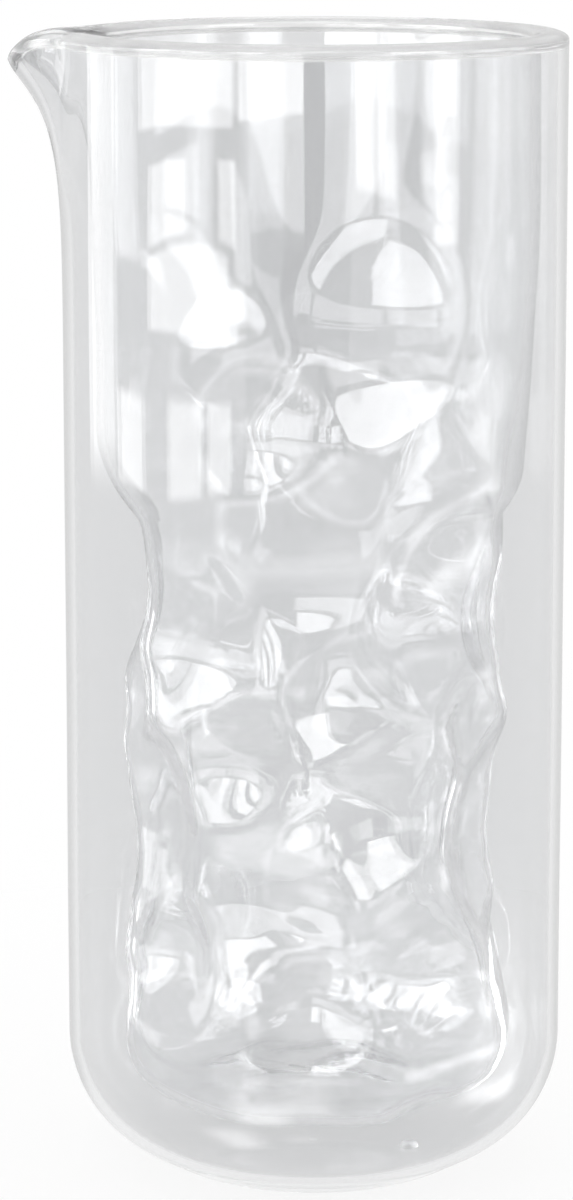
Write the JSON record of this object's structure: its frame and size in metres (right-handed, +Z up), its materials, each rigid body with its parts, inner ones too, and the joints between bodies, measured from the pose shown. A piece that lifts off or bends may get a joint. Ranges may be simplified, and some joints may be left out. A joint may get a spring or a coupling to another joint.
{
  "type": "double-walled carafe",
  "caption": "Double-walled clear glass carafe: straight outer wall with a rounded heel, dented inner vessel, and a fused rim drawn out into a pouring lip.",
  "frame": {"origin": "On the body's axis, in the plane of the flat foot that the carafe stands on", "axes": "+Z up along the body's axis, -X towards the tip of the pouring lip, +Y away from the viewer of the picture"},
  "size_m": [0.1106, 0.1, 0.23],
  "materials": {
    "outer_glass": "clear polished borosilicate glass",
    "inner_glass": "clear fire-polished borosilicate glass, softly dented",
    "rim_glass": "clear fire-polished borosilicate glass, rounded",
    "seal_glass": "clear melted drop of borosilicate glass"
  },
  "bodies": {
    "root": {"outer_wall": "outer_glass", "inner_wall": "inner_glass", "pouring_rim": "rim_glass", "vent_seal": "seal_glass"}
  },
  "joints": []
}
